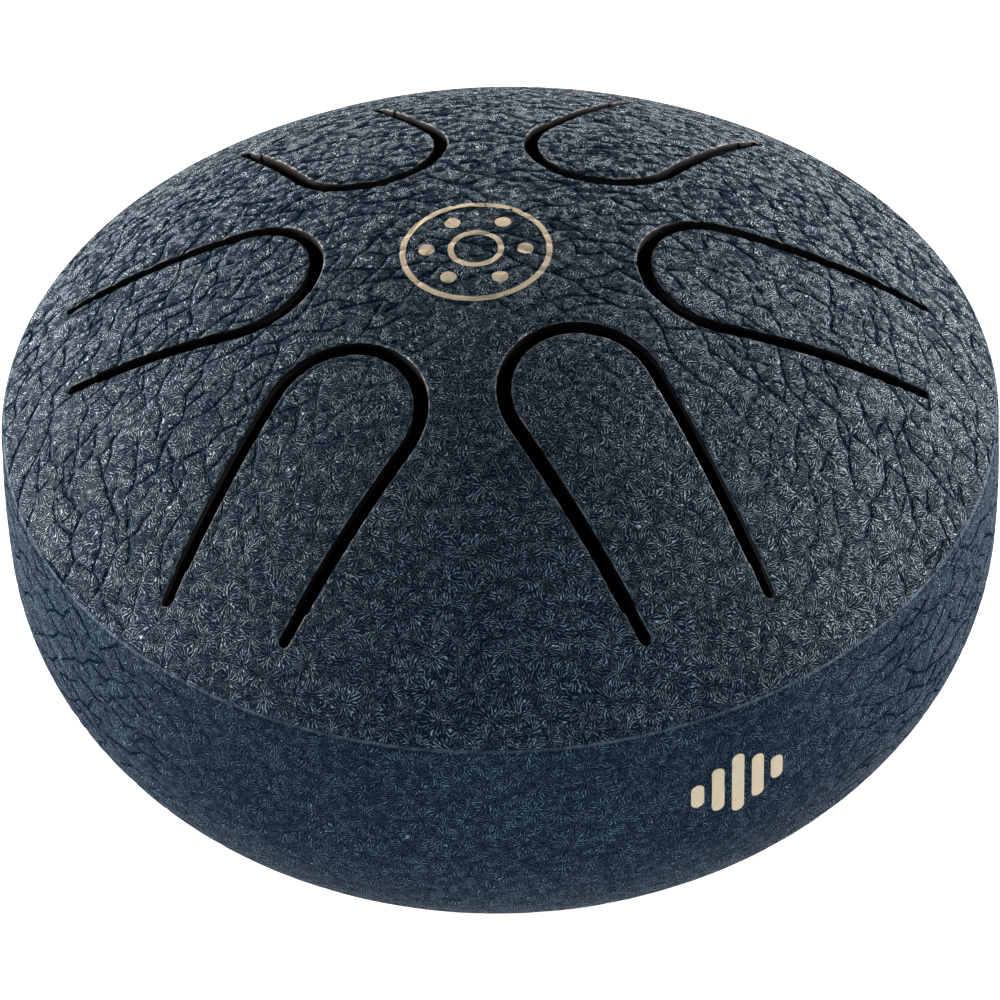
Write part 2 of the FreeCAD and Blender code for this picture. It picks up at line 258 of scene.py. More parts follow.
def slot_outline(tongue, grow=0.0):
    """The slot's outline, grown by a margin: its points on the tongue's side, then on the dome's side."""
    _, tip, root_half, right_end, left_end = tongue
    centre = np.array([tip + TIP_HALF_WIDTH, 0.0])
    right, left = leg(tip, root_half, right_end, -1), leg(tip, root_half, left_end, 1)
    right_in, left_in = leg_side(*right, -1, grow), leg_side(*left, -1, grow)
    right_out, left_out = leg_side(*right, 1, grow), leg_side(*left, 1, grow)
    inner = densified(left_in[::-1]) + sweep(centre, left_in[0], right_in[0], True) + densified(right_in)
    outer = sweep(right[2], right_in[3], right_out[3], False, CAP_STEP)
    outer += densified(right_out[::-1]) + sweep(centre, right_out[0], left_out[0], False)
    outer += densified(left_out) + sweep(left[2], left_out[3], left_in[3], False, CAP_STEP)
    return np.array(inner), np.array(outer)


def in_plan(points, tongue):
    """Points drawn in a tongue's own u and v, as points in plan."""
    a = math.radians(tongue[0])
    turn = np.array([[math.cos(a), math.sin(a)], [-math.sin(a), math.cos(a)]])
    return np.asarray(points) @ turn + PATTERN_CENTRE


def from_plan(plan, tongue):
    a = math.radians(tongue[0])
    turn = np.array([[math.cos(a), -math.sin(a)], [math.sin(a), math.cos(a)]])
    return (plan - PATTERN_CENTRE) @ turn


def slot_distance(plan, tongue):
    """Distance of points in plan from the edge of a tongue's slot, negative inside the slot."""
    uv = from_plan(plan, tongue)
    _, tip, root_half, right_end, left_end = tongue
    offset = uv - np.array([tip + TIP_HALF_WIDTH, 0.0])
    bearing = np.arctan2(np.abs(offset[:, 1]), offset[:, 0])
    nearest = np.full(len(uv), 1e3)
    for side, end in ((-1, right_end), (1, left_end)):
        normal, start, stop = leg(tip, root_half, end, side)
        along = stop - start
        length = np.linalg.norm(along)
        share = np.clip((uv - start) @ along / length ** 2, 0, 1)
        width = np.where(share * length > length - TUNING_LENGTH, TUNING_HALF_WIDTH, SLOT_HALF_WIDTH)
        away = np.linalg.norm(uv - start - share[:, None] * along, axis=1)
        nearest = np.minimum(nearest, away - width)
        on_arc = (np.sign(offset[:, 1]) != -side) & (bearing > math.atan2(abs(normal[1]), normal[0]))
        away = np.abs(np.linalg.norm(offset, axis=1) - TIP_HALF_WIDTH)
        nearest = np.where(on_arc, np.minimum(nearest, away - SLOT_HALF_WIDTH), nearest)
    return nearest


def distance_to_segment(points, start, end):
    along = end - start
    share = np.clip((points - start) @ along / (along @ along), 0, 1)
    return np.linalg.norm(points - start - share[:, None] * along, axis=1)


# Triangulated plans

def lattice(radius, step):
    """Points of a triangular lattice inside a circle."""
    rows = math.ceil(radius / (step * math.sqrt(0.75)))
    points = []
    for row in range(-rows, rows + 1):
        y = row * step * math.sqrt(0.75)
        x = (np.arange(-math.ceil(radius / step), math.ceil(radius / step) + 1) + 0.5 * (row % 2)) * step
        points.append(np.stack([x, np.full(len(x), y)], 1))
    points = np.vstack(points)
    return points[np.linalg.norm(points, axis=1) < radius]


def triangulated(points, polygons, free):
    """Triangles over closed loops of points and free points. Returns all the points, the triangles, and
    for each triangle which loops it lies in. A loop is a list of indices into the first points."""
    given = np.vstack([points, free])
    found, _, triangles, origins, _, within = delaunay_2d_cdt(
        [Vector(p) for p in given], [], polygons, 0, 1e-6)
    place = np.full(len(found), -1)
    for k, source in enumerate(origins):
        if source:
            place[k] = source[0]
    kept = [k for k, t in enumerate(triangles) if len(t) == 3]
    triangles = place[np.array([triangles[k] for k in kept])]
    inside = [set(within[k]) for k in kept]
    return given, triangles, inside


# The paint's wrinkles

def shell_section(step):
    """Radius and height of the whole outer surface, from the crown to the sound hole."""
    dome = [(DOME_RADIUS * math.sin(a), DOME_CENTRE_Z + DOME_RADIUS * math.cos(a))
            for a in np.linspace(0, DOME_EDGE_ANGLE, round(DOME_RADIUS * DOME_EDGE_ANGLE / step))]
    flat = [(r, BOTTOM_Z) for r in np.arange(FLAT_RADIUS - step, SOUND_HOLE_RADIUS, -step)]
    return np.vstack([dome, bowl_section(0, step), flat])


def star_points():
    """Points spread evenly over the outer surface, then shaken and put back onto it. The wrinkles
    spread out from them."""
    section = shell_section(0.25)
    middle = (section[1:] + section[:-1]) / 2
    area = np.linalg.norm(np.diff(section, axis=0), axis=1) * 2 * math.pi * middle[:, 0]
    total = np.concatenate([[0], np.cumsum(area)])
    count = round(total[-1] / (0.87 * STAR_SPACING ** 2))
    share = (np.arange(count) + 0.5) / count * total[-1]
    radius, height = np.interp(share, total, section[:, 0]), np.interp(share, total, section[:, 1])
    turn = np.arange(count) * math.pi * (3 - math.sqrt(5))
    points = np.stack([radius * np.cos(turn), radius * np.sin(turn), height], 1)
    points += random.normal(0, STAR_SHAKE * STAR_SPACING, points.shape)
    radius = np.linalg.norm(points[:, :2], axis=1)
    shaken = np.column_stack([radius, points[:, 2]])
    nearest = [np.argmin(((section - point) ** 2).sum(1)) for point in shaken]
    points[:, :2] *= (section[nearest, 0] / radius)[:, None]
    points[:, 2] = section[nearest, 1]
    return points


STARS = star_points()
STAR_LEVELS = random.random(len(STARS))
STAR_SEEDS = random.random(len(STARS)) * 100
STAR_TREE = KDTree(len(STARS))
for index, star in enumerate(STARS):
    STAR_TREE.insert(star, index)
STAR_TREE.balance()


def smooth_step(x, low, high):
    t = np.clip((x - low) / (high - low), 0, 1)
    return t * t * (3 - 2 * t)


def star_links():
    """For each star point, the star points near it and the strength of the crease to each of them. The
    strength is the same from both ends, and 0 where a third star point is in the way."""
    found = [STAR_TREE.find_n(star, CREASE_CHOICES + 1)[1:] for star in STARS]
    others = np.array([[index for _, index, _ in row] for row in found])
    middle = (STARS[others] + STARS[:, None]) / 2
    link = STARS[others] - STARS[:, None]
    link /= np.linalg.norm(link, axis=2)[:, :, None]
    nearest = np.array([[STAR_TREE.find(point)[1] for point in points] for points in middle])
    clear = (nearest == others) | (nearest == np.arange(len(STARS))[:, None])
    # on the wall the creases run around the drum, and on the dome around a point near its front edge
    on_dome = middle[:, :, 2] > SEAM_Z
    x, y = middle[:, :, 0], middle[:, :, 1] - np.where(on_dome, DOME_CREASE_CENTRE, 0.0)
    turning = np.abs(link[:, :, 1] * x - link[:, :, 0] * y) / np.maximum(np.hypot(x, y), 1e-6)
    chance = np.modf(np.sin(STAR_SEEDS[:, None] + STAR_SEEDS[others]) * 43.7)[0] % 1
    strength = (0.5 + 0.5 * smooth_step(chance, 0.0, 0.4)) * (0.12 + 0.88 * smooth_step(turning, 0.35, 0.7))
    front = (-middle[:, :, 1] - 0.6 * np.abs(x)) / SHELL_RADIUS - np.where(on_dome, 0.0, 0.2)
    return others, strength * clear * (1 - FRONT_CALM * smooth_step(front, -0.05, 0.35))


NEXT_STARS, LINK_STRENGTHS = star_links()


def wrinkles(points, normals):
    """The paint's relief at points of the smooth surface: depth below it, and what the material needs:
    the shaken place, its nearest star point, and the end and strength of the crease next to it."""
    place, near = np.zeros((len(points), 3)), np.zeros(len(points), int)
    for k, p in enumerate(points):
        p = Vector(p)
        # both shakes keep the creases from running dead straight
        p += 0.6 * noise.noise_vector(p * 0.3) + 0.12 * noise.noise_vector(p * 1.2)
        place[k] = p
        near[k] = STAR_TREE.find(p)[1]
    others, strength = NEXT_STARS[near], LINK_STRENGTHS[near]
    # both are laid into the surface, because the star points lie a little above or below it
    link = STARS[others] - STARS[near][:, None]
    link -= (link * normals[:, None]).sum(2)[:, :, None] * normals[:, None]
    link /= np.maximum(np.linalg.norm(link, axis=2), 1e-6)[:, :, None]
    offset = place - STARS[near]
    offset -= (offset * normals).sum(1)[:, None] * normals
    along = (link * offset[:, None]).sum(2)
    across = np.linalg.norm(offset[:, None] - along[:, :, None] * link, axis=2)
    score = strength * np.clip(1 - across, 0, 1) * (along > 0)
    best = np.argmax(score, 1)[:, None]
    strength = np.take_along_axis(strength, best, 1)[:, 0]
    across = np.take_along_axis(across, best, 1)[:, 0]
    crease = strength * (1 - smooth_step(across, 0.0, CREASE_WIDTH))
    pinch = 1 - smooth_step(np.linalg.norm(offset, axis=1), 0.1, PINCH_RADIUS)
    depth = CREASE_DEPTH * np.maximum(crease, 0.6 * pinch)
    depth += PLATE_DEPTH * (0.3 + 0.7 * STAR_LEVELS[near])
    return depth, {"place": place, "star": near, "strength": strength,
                   "next": np.take_along_axis(others, best, 1)[:, 0]}


def fan_places(triangles, place, star, following, strength, facing):
    """For each corner of each triangle, its place in the fan around the star point of the triangle's
    first corner: the distances across and up the surface, and the star point's level. Then the
    direction of the crease towards the next star point, across and up, and the crease's strength."""
    sideways = np.stack([-facing[:, 1], facing[:, 0], np.zeros(len(facing))], 1)
    sideways[np.linalg.norm(sideways, axis=1) < 0.02] = (1, 0, 0)
    sideways /= np.linalg.norm(sideways, axis=1)[:, None]
    upward = np.cross(facing, sideways)
    corners = triangles.ravel()
    first = np.repeat(triangles[:, 0], 3)
    stars = star[first]
    offset = place[corners] - STARS[stars]
    link = STARS[following[first]] - STARS[stars]
    fans = [(offset * sideways[corners]).sum(1), (offset * upward[corners]).sum(1), STAR_LEVELS[stars]]
    across, up = (link * sideways[corners]).sum(1), (link * upward[corners]).sum(1)
    length = np.maximum(np.hypot(across, up), 1e-6)
    return np.stack(fans, 1), np.stack([across / length, up / length, strength[first]], 1)


# Meshes

def normals_of(points, triangles):
    """Vertex normals, each weighted by the areas of the triangles around it."""
    a, b, c = (points[triangles[:, k]] for k in range(3))
    face = np.cross(b - a, c - a)
    normals = np.zeros_like(points)
    for k in range(3):
        np.add.at(normals, triangles[:, k], face)
    return normals / np.maximum(np.linalg.norm(normals, axis=1), 1e-12)[:, None]


def strip(upper, lower):
    """Triangles between two closed rows of indices, with the solid on the left of the rows' direction,
    seen from above when the upper row is above the lower one."""
    upper, lower = np.append(upper, upper[0]), np.append(lower, lower[0])
    i, j, k, l = upper[:-1], upper[1:], lower[:-1], lower[1:]
    return np.vstack([np.stack([j, i, k], 1), np.stack([j, k, l], 1)])


class Skin:
    """Collects the points and triangles of one piece. Each point has its place, its normal, what
    wrinkles() gives for it, and how near it is to an edge with wear and a painted highlight."""

    def __init__(self):
        titles = ("at", "normal", "place", "star", "next", "strength", "edge")
        self.columns = {title: [] for title in titles}
        self.triangles, self.materials = [], []
        self.count = 0

    def add(self, points, normals, wrinkled=None, edge=None):
        """Adds points and returns the index of the first."""
        first = self.count
        size = len(points)
        rows = {"at": points, "normal": normals, "place": points, "star": np.zeros(size, int),
                "next": np.ones(size, int), "strength": np.zeros(size),
                "edge": np.zeros(size) if edge is None else edge}
        rows.update(wrinkled or {})
        for title, values in rows.items():
            self.columns[title].append(values)
        self.count += size
        return first

    def join(self, triangles, inside=False):
        """Adds triangles. Those inside the drum or a slot take the second material."""
        self.triangles.append(np.asarray(triangles))
        self.materials.append(np.full(len(triangles), int(inside)))

    def piece(self, name, *materials):
        """Makes the object, with the attributes that the paint's material reads."""
        triangles = np.vstack(self.triangles)
        used, renumbered = np.unique(triangles, return_inverse=True)
        triangles = renumbered.reshape(-1, 3)
        data = {title: np.concatenate(parts)[used] for title, parts in self.columns.items()}
        mesh = bpy.data.meshes.new(name)
        mesh.from_pydata((data["at"] * MM).tolist(), [], triangles.tolist())
        fans, links = fan_places(triangles, data["place"], data["star"], data["next"], data["strength"],
                                 data["normal"])
        for title, kind, domain, field, values in (
                ("fan", "FLOAT_VECTOR", "CORNER", "vector", fans),
                ("link", "FLOAT_VECTOR", "CORNER", "vector", links),
                ("edge", "FLOAT", "POINT", "value", data["edge"])):
            layer = mesh.attributes.new(title, kind, domain)
            layer.data.foreach_set(field, values.astype(np.float32).ravel())
        mesh.shade_smooth()
        mesh.normals_split_custom_set_from_vertices(data["normal"].tolist())
        for material in materials:
            mesh.materials.append(material)
        mesh.polygons.foreach_set("material_index", np.concatenate(self.materials).astype(np.int32))
        piece = bpy.data.objects.new(name, mesh)
        bpy.context.scene.collection.objects.link(piece)
        return piece


def sphere_normals(points):
    out = points - np.array([0, 0, DOME_CENTRE_Z])
    return out / np.linalg.norm(out, axis=1)[:, None]


def edge_row(skin, points, loop):
    """Adds a row a little under a loop's edge, facing out of the solid, and joins it. The loop's
    direction keeps the solid on its left."""
    edge = points[loop]
    ahead = np.roll(edge, -1, 0) - np.roll(edge, 1, 0)
    out = np.stack([ahead[:, 1], -ahead[:, 0], np.zeros(len(edge))], 1)
    out /= np.linalg.norm(out, axis=1)[:, None]
    first = skin.add(edge - np.array([0, 0, EDGE_DROP]), out)
    lower = first + np.arange(len(edge))
    skin.join(strip(loop, lower), inside=True)
    return lower


def top_pieces(paint, shade_lining):
    """The dome and its tongues: one plan, cut along the slots and the tongues' root lines."""
    # polygon 0 is the rim, and each tongue then has its slot's and its own
    points = [circle(DOME_EDGE_RADIUS, AROUND)]
    polygons = [list(range(AROUND))]
    count = AROUND
    free = []
    tongues = []
    for tongue in TONGUES:
        inner, outer = (in_plan(p, tongue) for p in slot_outline(tongue))
        root = densified([inner[-1], inner[0]], GRID)[1:-1]
        start = count
        points += [inner, outer, np.array(root)]
        inner_at = list(range(start, start + len(inner)))
        outer_at = list(range(start + len(inner), start + len(inner) + len(outer)))
        root_at = list(range(outer_at[-1] + 1, outer_at[-1] + 1 + len(root)))
        count = root_at[-1] + 1
        polygons += [(inner_at + outer_at)[::-1], inner_at + root_at]
        tongues.append({
            "loop": inner_at + root_at,
            "hole": [inner_at[-1]] + outer_at + [inner_at[0]] + root_at[::-1],
            "root": (inner[-1], inner[0]),
        })
        for grow in SLOT_ROWS:
            free.append(np.vstack([in_plan(p, tongue) for p in slot_outline(tongue, grow)]))
    spread = lattice(DOME_EDGE_RADIUS - RIM_MARGIN, GRID)
    for tongue in TONGUES:
        spread = spread[slot_distance(spread, tongue) > SLOT_MARGIN]
    free = np.vstack(free + [spread])
    for tongue in tongues:
        free = free[distance_to_segment(free, *tongue["root"]) > ROOT_MARGIN]
    points = np.vstack(points)
    plan, triangles, inside = triangulated(points, polygons, free)

    # outer surface: relief, and slot edges that the paint rounds off
    height = dome_height(DOME_RADIUS, plan)
    smooth = np.column_stack([plan, height])
    facing = sphere_normals(smooth)
    depth, wrinkled = wrinkles(smooth, facing)
    to_slot = np.min([slot_distance(plan, t) for t in TONGUES], 0)
    depth *= smooth_step(DOME_EDGE_RADIUS - np.linalg.norm(plan, axis=1), 0, SEAM_FADE)
    lip = np.clip(1 - to_slot / EDGE_ROUND, 0, 1)
    depth += 0.55 * EDGE_ROUND * (1 - np.sqrt(np.clip(1 - lip ** 2, 0, 1)))
    surface = smooth - facing * depth[:, None]
    # where the light edge colour goes: wear and a painted highlight on the slots' rounded edges
    edge = 1 - smooth_step(to_slot, 0.0, EDGE_WEAR_AND_HIGHLIGHT)
    slots = set(range(1, len(polygons), 2))
    shading = normals_of(surface, triangles[[not t & slots for t in inside]])

    # inner surface, in fewer points
    under_plan = lattice(SEAM_RADIUS - 1, COARSE_GRID)
    for tongue in TONGUES:
        under_plan = under_plan[np.abs(slot_distance(under_plan, tongue)) > 0.8]
    under, under_triangles, under_inside = triangulated(points, polygons, under_plan)
    under = under.copy()
    under[:AROUND] *= SEAM_RADIUS / DOME_EDGE_RADIUS
    ceiling = np.column_stack([under, dome_height(DOME_RADIUS_IN, under)])

    def sheet(name, belongs, loops):
        skin = Skin()
        skin.add(surface, shading, wrinkled, edge)
        skin.join(triangles[[belongs(t) for t in inside]])
        first = skin.add(ceiling, -sphere_normals(ceiling))
        skin.join(first + under_triangles[[belongs(t) for t in under_inside]][:, ::-1], inside=True)
        for loop in loops:
            loop = np.array(loop)
            if loop[0] == 0 and loop[-1] == AROUND - 1:
                skin.join(strip(loop, first + loop))
            else:
                lower = edge_row(skin, surface, loop)
                skin.join(strip(lower, first + loop), inside=True)
        return skin.piece(name, paint, shade_lining)

    dome = sheet("dome_skin", lambda t: t == {0}, [polygons[0]] + [t["hole"] for t in tongues])
    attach(dome, "drum")
    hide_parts("top_shell")
    pieces = [dome]
    for k, tongue in enumerate(tongues, 1):
        piece = sheet(f"tongue_{k}_skin", lambda t: 2 * k in t, [tongue["loop"]])
        low, high = tongue["root"]
        inward = np.array([-(high - low)[1], (high - low)[0]])
        inward *= BEND_LENGTH / np.linalg.norm(inward)
        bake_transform(piece)
        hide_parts(f"tongue_{k}")
        pieces.append(piece)
    return pieces


def revolved_normals(section):
    """Normals of a turned section that runs from the top down, outside on its outer side."""
    along = np.gradient(section, axis=0)
    out = np.stack([-along[:, 1], along[:, 0]], 1)
    out /= np.linalg.norm(out, axis=1)[:, None]
    return turned(out)


def ring(first, k):
    """Indices of one row of a turned section, whose own first index is given."""
    return first + k * AROUND + np.arange(AROUND)


def weld_piece(paint, shade_lining):
    """The weld, dressed to a round between the dome's edge and the bowl's."""
    angles = np.linspace(math.pi / 2 - DOME_EDGE_ANGLE, WALL_EDGE_ANGLE, 7)
    section = np.array([(SEAM_RADIUS + SHEET * math.cos(a), SEAM_Z + SHEET * math.sin(a)) for a in angles])
    normals = turned(np.stack([np.cos(angles), np.sin(angles)], 1))
    points = turned(section)
    _, wrinkled = wrinkles(points, normals)
    skin = Skin()
    # a painted highlight along the weld's round, in its second and third rows
    seen = skin.add(points, normals, wrinkled, np.repeat(WELD_HIGHLIGHT_ROWS, AROUND))
    for k in range(len(section) - 1):
        skin.join(strip(ring(seen, k), ring(seen, k + 1)))
    root = skin.add(turned(np.array([[SEAM_RADIUS, SEAM_Z]])), turned(np.array([[-1.0, 0.0]])))
    skin.join(strip(ring(seen, len(section) - 1), ring(root, 0)), inside=True)
    skin.join(strip(ring(root, 0), ring(seen, 0)), inside=True)
    piece = skin.piece("weld_skin", paint, shade_lining)
    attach(piece, "drum")
    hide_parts("rim_weld")
    return piece


def bowl_piece(paint, shade_lining):
    """The bowl: wall and curve turned about the axis, and a flat bottom with its four holes."""
    section = bowl_section(0, BOWL_STEP)
    normals = revolved_normals(section)
    points = turned(section)
    depth, wrinkled = wrinkles(points, normals)
    steps = np.linalg.norm(np.diff(section, axis=0), axis=1)
    down = np.repeat(np.concatenate([[0], np.cumsum(steps)]), AROUND)
    depth *= smooth_step(down, 0, SEAM_FADE) * smooth_step(down[-1] - down, 0, FLAT_FADE)
    depth += 0.02 * smooth_step(down, 0, SEAM_FADE)
    surface = points - normals * depth[:, None]
    inner_section = bowl_section(SHEET, BOWL_STEP_IN)
    inner_section[0] = SEAM_RADIUS, SEAM_Z

    holes = [circle(SOUND_HOLE_RADIUS, 240)]
    for angle in FOOT_ANGLES:
        a = math.radians(angle)
        centre = FOOT_CIRCLE * np.array([math.cos(a), math.sin(a)])
        holes.append(circle(SCREW_HOLE_RADIUS, 40, centre))
    loops = [circle(FLAT_RADIUS, AROUND)] + holes
    starts = np.concatenate([[0], np.cumsum([len(p) for p in loops])])
    polygons = [list(range(a, b)) for a, b in zip(starts, starts[1:])]
    spread = lattice(FLAT_RADIUS - 1, FLAT_GRID)
    spread = spread[np.linalg.norm(spread, axis=1) > SOUND_HOLE_RADIUS + 0.6]
    for hole in holes[1:]:
        spread = spread[np.linalg.norm(spread - hole.mean(0), axis=1) > SCREW_HOLE_RADIUS + 0.5]
    plan, triangles, inside = triangulated(np.vstack(loops), polygons, spread)
    triangles = triangles[[t == {0} for t in inside]]

    skin = Skin()
    faces = np.vstack([strip(ring(0, k), ring(0, k + 1)) for k in range(len(section) - 1)])
    shading = normals_of(surface, faces)
    shading[:AROUND] = normals[:AROUND]
    shading[-AROUND:] = (0, 0, -1)
    seen = skin.add(surface, shading, wrinkled)
    skin.join(faces)
    inner_points = turned(inner_section)
    hidden = skin.add(inner_points, -revolved_normals(inner_section))
    for k in range(len(inner_section) - 1):
        skin.join(strip(ring(hidden, k), ring(hidden, k + 1))[:, ::-1], inside=True)
    skin.join(strip(ring(hidden, 0), ring(seen, 0)), inside=True)
    outside = np.column_stack([plan, np.full(len(plan), BOTTOM_Z)])
    flat_normals = np.tile([0.0, 0.0, -1.0], (len(plan), 1))
    below = skin.add(outside, flat_normals, wrinkles(outside, flat_normals)[1])
    above = skin.add(outside + np.array([0, 0, SHEET]), -flat_normals)
    # the flat's outer ring is the last row of the turned part
    for level, rim, flipped in ((below, ring(seen, len(section) - 1), True),
                                (above, ring(hidden, len(inner_section) - 1), False)):
        numbers = np.concatenate([rim, level + np.arange(AROUND, len(plan))])
        faces = numbers[triangles]
        skin.join(faces[:, ::-1] if flipped else faces, inside=not flipped)
    for loop in polygons[1:]:
        loop = np.array(loop[::-1])
        skin.join(strip(above + loop, below + loop))
    piece = skin.piece("bowl_skin", paint, shade_lining)
    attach(piece, "drum")
    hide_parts("bottom_shell")
    return piece


# Prints

def printed(name, outlines, onto_shell, node, material):
    """A thin film that follows the paint's relief. Its outlines are drawn flat, and where one lies
    inside another it is a hole."""
    starts = np.concatenate([[0], np.cumsum([len(p) for p in outlines])])
    polygons = [list(range(a, b)) for a, b in zip(starts, starts[1:])]
    points = np.vstack(outlines)
    middle = (points.min(0) + points.max(0)) / 2
    reach = np.linalg.norm(points - middle, axis=1).max()
    given = np.vstack([points, lattice(reach, PRINT_GRID) + middle])
    found, _, triangles, _, _, within = delaunay_2d_cdt([Vector(p) for p in given], [], polygons, 0, 1e-6)
    drawn = np.array([t for t, polygon in zip(triangles, within) if len(polygon) % 2])
    plan = np.array([tuple(p) for p in found])
    smooth, facing = onto_shell(plan)
    depth, wrinkled = wrinkles(smooth, facing)
    top = smooth + facing * (PRINT_LIFT - depth)[:, None]
    bottom = top - facing * PRINT_FILM
    skin = Skin()
    shading = normals_of(top, drawn)
    skin.add(top, shading, wrinkled)
    second = skin.add(bottom, -shading, wrinkled)
    skin.join(drawn)
    skin.join(drawn[:, ::-1] + second)
    sides = np.vstack([drawn[:, [0, 1]], drawn[:, [1, 2]], drawn[:, [2, 0]]])
    keys = set(map(tuple, sides.tolist()))
    border = np.array([s for s in sides.tolist() if (s[1], s[0]) not in keys])
    a, b = border[:, 0], border[:, 1]
    skin.join(np.vstack([np.stack([b, a, a + second], 1), np.stack([b, a + second, b + second], 1)]))
    piece = skin.piece(name, material)
    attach(piece, "drum")
    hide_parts(node)
    return piece


def emblem_outlines():
    """Two plain rings, with a dot between them for each tongue."""
    outlines = []
    for radius in EMBLEM_RINGS:
        for edge in (radius + EMBLEM_LINE / 2, radius - EMBLEM_LINE / 2):
            outlines.append(circle(edge, round(2 * math.pi * edge / EDGE_STEP), PATTERN_CENTRE))
    for direction, *_ in TONGUES:
        bearing = math.radians(direction)
        middle = PATTERN_CENTRE + EMBLEM_DOT_CIRCLE * np.array([math.cos(bearing), math.sin(bearing)])
        outlines.append(circle(EMBLEM_DOT_RADIUS, 36, middle))
    return outlines


def onto_dome(plan):
    smooth = np.column_stack([plan, dome_height(DOME_RADIUS, plan)])
    return smooth, sphere_normals(smooth)


def badge_outlines():
    """Five upright bars with round ends, drawn with the distance around the wall and the height."""
    first = -BAR_PITCH * (len(BADGE_BARS) - 1) / 2
    outlines = []
    for k, height in enumerate(BADGE_BARS):
        straight = (height - BAR_WIDTH) / 2
        angles = np.linspace(0, math.pi, 24)
        cap = BAR_WIDTH / 2 * np.stack([np.cos(angles), np.sin(angles)], 1)
        top, bottom = cap + (0, straight), -cap - (0, straight)
        outlines.append(np.vstack([top, bottom]) + (first + k * BAR_PITCH, BADGE_HEIGHT))
    return outlines


def onto_wall(drawing):
    angle = np.arcsin((drawing[:, 1] - WIDEST_Z) / WALL_ARC)
    turn = math.radians(BADGE_ANGLE) + drawing[:, 0] / SHELL_RADIUS
    out = np.stack([np.cos(turn) * np.cos(angle), np.sin(turn) * np.cos(angle), np.sin(angle)], 1)
    radius = WALL_ARC_CENTRE + WALL_ARC * np.cos(angle)
    smooth = np.stack([radius * np.cos(turn), radius * np.sin(turn), drawing[:, 1]], 1)
    return smooth, out


# Materials

class Nodes:
    """Short names for the shader nodes that the materials use."""

    def __init__(self, name):
        self.material = bpy.data.materials.new(name)
        self.material.use_nodes = True
        self.tree = self.material.node_tree
        self.shader = self.tree.nodes["Principled BSDF"]

    def put(self, value, socket):
        if isinstance(value, bpy.types.NodeSocket):
            self.tree.links.new(value, socket)
        else:
            socket.default_value = value

    def math(self, operation, *values):
        node = self.tree.nodes.new("ShaderNodeMath")
        node.operation = operation
        for value, socket in zip(values, node.inputs):
            self.put(value, socket)
        return node.outputs[0]

    def attribute(self, name, output):
        node = self.tree.nodes.new("ShaderNodeAttribute")
        node.attribute_name = name
        return node.outputs[output]

    def split(self, vector):
        node = self.tree.nodes.new("ShaderNodeSeparateXYZ")
        self.put(vector, node.inputs[0])
        return node.outputs

    def noise(self, place, scale, detail):
        node = self.tree.nodes.new("ShaderNodeTexNoise")
        self.put(place, node.inputs["Vector"])
        self.put(scale, node.inputs["Scale"])
        self.put(detail, node.inputs["Detail"])
        return node.outputs["Fac"]

    def position(self):
        """Object coordinates in millimetres."""
        place = self.tree.nodes.new("ShaderNodeTexCoord")
        scaled = self.tree.nodes.new("ShaderNodeVectorMath")
        scaled.operation = "SCALE"
        self.put(place.outputs["Object"], scaled.inputs[0])
        scaled.inputs["Scale"].default_value = 1 / MM
        return scaled.outputs[0]

    def span(self, value, low, high, start=0.0, end=1.0):
        """A smooth step from start, where the value is low, to end, where it is high."""
        node = self.tree.nodes.new("ShaderNodeMapRange")
        node.interpolation_type = "SMOOTHSTEP"
        for v, socket in zip((value, low, high, start, end), node.inputs):
            self.put(v, socket)
        return node.outputs[0]

    def mix(self, share, a, b):
        node = self.tree.nodes.new("ShaderNodeMix")
        node.data_type = "RGBA"
        self.put(share, node.inputs[0])
        self.put(a, node.inputs[6])
        self.put(b, node.inputs[7])
        return node.outputs[2]

    def bump(self, height, distance):
        node = self.tree.nodes.new("ShaderNodeBump")
        self.put(height, node.inputs["Height"])
        node.inputs["Distance"].default_value = distance * MM
        self.put(node.outputs[0], self.shader.inputs["Normal"])

    def finish(self, color, roughness, metallic=0.0, specular=0.5):
        self.put(color, self.shader.inputs["Base Color"])
        self.put(roughness, self.shader.inputs["Roughness"])
        self.shader.inputs["Metallic"].default_value = metallic
        self.shader.inputs["Specular IOR Level"].default_value = specular
        return self.material


def fan_place(n):
    """Place around the nearest star point: across, up, straight distance, and the star point's level."""
    u, v, level = n.split(n.attribute("fan", "Vector"))
    squares = n.math("ADD", n.math("MULTIPLY", u, u), n.math("MULTIPLY", v, v))
    return u, v, n.math("SQRT", squares), level


def fan_ridges(n, place):
    """Ridges that spread out from the star points and split as they go, so that their pitch stays about
    the same. Heights are from 0 to 1."""
    u, v, away, level = fan_place(n)
    away = n.math("MAXIMUM", away, 0.2)
    turn = n.math("ARCTAN2", v, u)
    octave = n.math("LOGARITHM", n.math("DIVIDE", away, 0.35), 2.0)
    whole = n.math("FLOOR", octave)
    sway = n.math("MULTIPLY", n.math("ADD", n.noise(place, 1.1, 1.0), level), RIDGE_SWAY)
    layers = []
    for step in (0.0, 1.0):
        number = n.math("ADD", whole, step)
        ridges = n.math("MULTIPLY", n.math("POWER", 2.0, number), RIDGES_AROUND)
        layers.append(n.math("SINE", n.math("ADD", n.math("MULTIPLY", turn, ridges), sway)))
    share = n.span(n.math("SUBTRACT", octave, whole), 0.3, 0.7)
    blend = n.math("ADD", layers[0], n.math("MULTIPLY", share, n.math("SUBTRACT", layers[1], layers[0])))
    return n.span(blend, RIDGE_LOW, RIDGE_HIGH)


